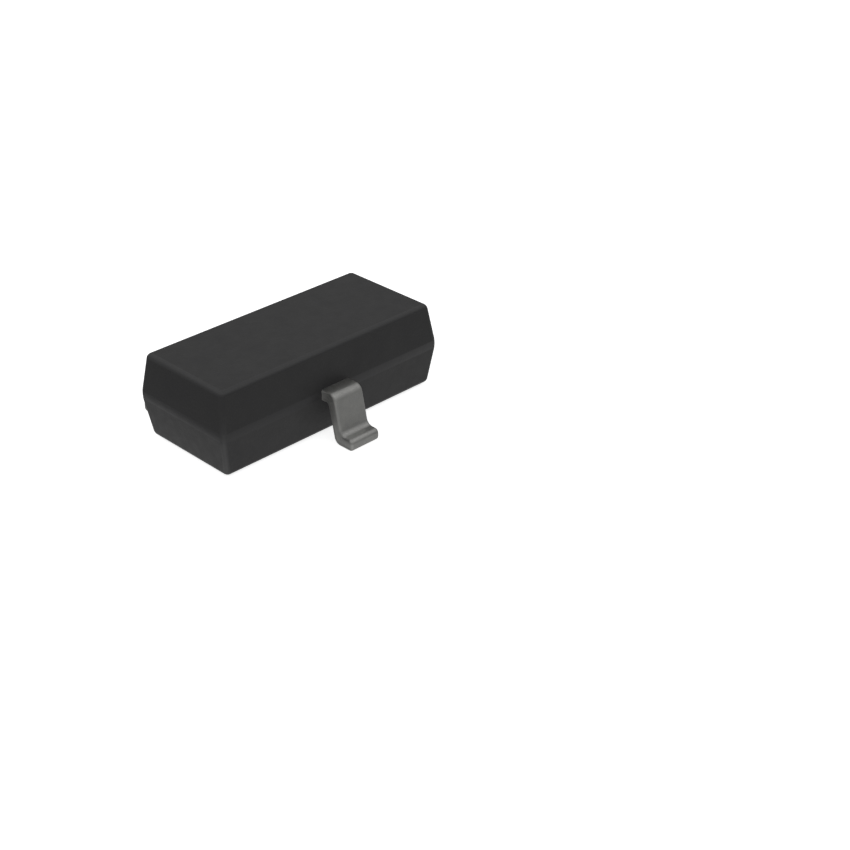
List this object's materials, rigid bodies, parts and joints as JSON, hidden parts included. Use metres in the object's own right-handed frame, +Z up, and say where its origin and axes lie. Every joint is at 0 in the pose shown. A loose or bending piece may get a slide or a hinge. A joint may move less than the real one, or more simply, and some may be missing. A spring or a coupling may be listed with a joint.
{
  "type": "linear voltage regulator",
  "caption": "Small surface-mount block of black moulded epoxy with formed gull-wing leads and a wire-bonded die inside, which holds a circuit board's supply voltage steady.",
  "frame": {"origin": "on the circuit board's surface, under the middle of the part's outline", "axes": "+X along the moulded block, +Z up off the board, the single lead towards -Y and the pair of leads towards +Y"},
  "size_m": [0.0028, 0.0022, 0.001],
  "materials": {
    "moulding_epoxy": "moulded black epoxy with a fine satin grain",
    "tin_plating": "matte tin plating on copper alloy",
    "silver_glue": "cured silver-filled epoxy",
    "silicon": "polished silicon",
    "gold": "drawn gold wire"
  },
  "bodies": {
    "root": {"body": "moulding_epoxy", "lead_1": "tin_plating", "lead_2": "tin_plating", "lead_3": "tin_plating", "die_attach": "silver_glue", "die": "silicon", "bond_wire_1": "gold", "bond_wire_2": "gold", "bond_wire_3": "gold"}
  },
  "joints": []
}
